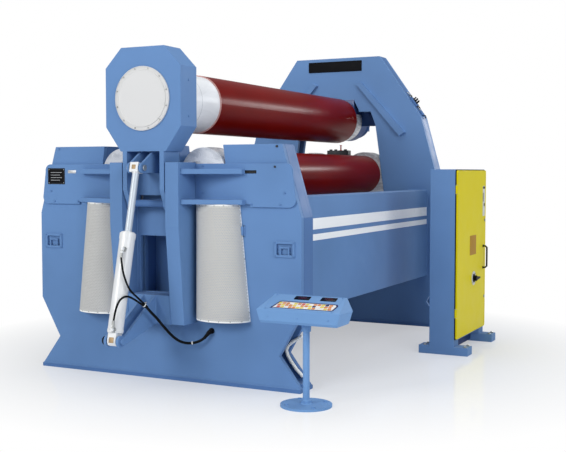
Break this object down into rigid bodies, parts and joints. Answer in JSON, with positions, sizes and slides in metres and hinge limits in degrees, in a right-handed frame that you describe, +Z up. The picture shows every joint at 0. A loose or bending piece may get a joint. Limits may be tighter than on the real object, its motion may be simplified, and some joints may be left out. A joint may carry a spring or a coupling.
{
  "type": "plate rolling machine",
  "caption": "Hydraulic plate bending roll with a fixed top roll, rising side rolls, a tilting drop end, an electrical cabinet and a control stand; it curves steel plate into shells.",
  "frame": {"origin": "on the floor, on the machine's centre line, at the front face of the drop-end frame", "axes": "+X across the machine towards the control stand, +Y along the rolls from the drop end to the drive end, +Z up"},
  "size_m": [3.237, 5.1084, 2.99],
  "materials": {
    "frame_blue": "satin",
    "inner_blue": "satin",
    "stand_blue": "satin",
    "roll_red": "glossy",
    "machined_steel": "satin",
    "white_paint": "satin",
    "guard_cream": "satin",
    "door_yellow": "satin",
    "black_fitting": "matte",
    "hose_rubber": "matte"
  },
  "bodies": {
    "frame": {"near_front_plate": "frame_blue", "near_rear_plate": "frame_blue", "near_frame_core": "inner_blue", "bearing_cover_left": "frame_blue", "bearing_cover_right": "frame_blue", "guide_post_left": "frame_blue", "guide_post_right": "frame_blue", "post_web": "frame_blue", "tilt_shaft": "machined_steel", "guard_left": "guard_cream", "guard_right": "guard_cream", "side_beam_left": "frame_blue", "side_beam_right": "frame_blue", "yoke_inner_plate": "frame_blue", "yoke_outer_plate": "frame_blue", "yoke_core": "inner_blue", "top_bearing": "machined_steel", "lift_barrel_near_left": "white_paint", "lift_barrel_near_right": "white_paint", "lift_barrel_far_left": "white_paint", "lift_barrel_far_right": "white_paint", "top_drive": "inner_blue", "hose_bundle": "hose_rubber", "hose_gland": "black_fitting", "cabinet_body": "frame_blue", "control_stand": "stand_blue", "control_console": "frame_blue"},
    "top_roll": {"top_roll": "roll_red"},
    "left_carriage": {"block_near_left": "machined_steel", "block_far_left": "machined_steel", "side_drive_left": "inner_blue"},
    "right_carriage": {"block_near_right": "machined_steel", "block_far_right": "machined_steel", "side_drive_right": "inner_blue"},
    "left_roll": {"side_roll_left": "roll_red"},
    "right_roll": {"side_roll_right": "roll_red"},
    "drop_end": {"drop_head": "frame_blue", "head_cap": "white_paint"},
    "tilt_barrel": {"tilt_barrel": "white_paint", "hose_upper": "hose_rubber", "hose_lower": "hose_rubber"},
    "tilt_rod": {"tilt_rod": "machined_steel"},
    "cabinet_door": {"cabinet_door": "door_yellow", "door_handle": "black_fitting", "isolator_switch": "black_fitting"}
  },
  "joints": [
    {"name": "top_roll_spin", "type": "hinge", "parent": "frame", "child": "top_roll", "pos_m": [0, 0, 2.28], "axis": [0, 1, 0], "continuous": true},
    {"name": "left_lift", "type": "slide", "parent": "frame", "child": "left_carriage", "axis": [0.1392, 0, 0.9903], "range_m": [0, 0.23]},
    {"name": "right_lift", "type": "slide", "parent": "frame", "child": "right_carriage", "axis": [-0.1392, 0, 0.9903], "range_m": [0, 0.23]},
    {"name": "left_roll_spin", "type": "hinge", "parent": "left_carriage", "child": "left_roll", "pos_m": [-0.323, 0, 1.675], "axis": [0, 1, 0], "continuous": true},
    {"name": "right_roll_spin", "type": "hinge", "parent": "right_carriage", "child": "right_roll", "pos_m": [0.323, 0, 1.675], "axis": [0, 1, 0], "continuous": true},
    {"name": "drop_end_tilt", "type": "hinge", "parent": "frame", "child": "drop_end", "pos_m": [0, -0.165, 1.45], "axis": [1, 0, 0], "range_deg": [0, 45]},
    {"name": "tilt_barrel_swing", "type": "hinge", "parent": "frame", "child": "tilt_barrel", "pos_m": [0, -0.671, 0.416], "axis": [1, 0, 0], "range_deg": [0, 5.5]},
    {"name": "tilt_rod_slide", "type": "slide", "parent": "tilt_barrel", "child": "tilt_rod", "axis": [0, 0.2304, 0.9731], "range_m": [-0.24, 0]},
    {"name": "cabinet_door_hinge", "type": "hinge", "parent": "frame", "child": "cabinet_door", "pos_m": [1.857, 2.066, 0.9], "axis": [0, 0, -1], "range_deg": [0, 110]}
  ],
  "couplings": [
    {"joint": "tilt_barrel_swing", "follows": "drop_end_tilt", "ratio": 0.11922},
    {"joint": "tilt_rod_slide", "follows": "drop_end_tilt", "m_per_rad": -0.30222}
  ]
}
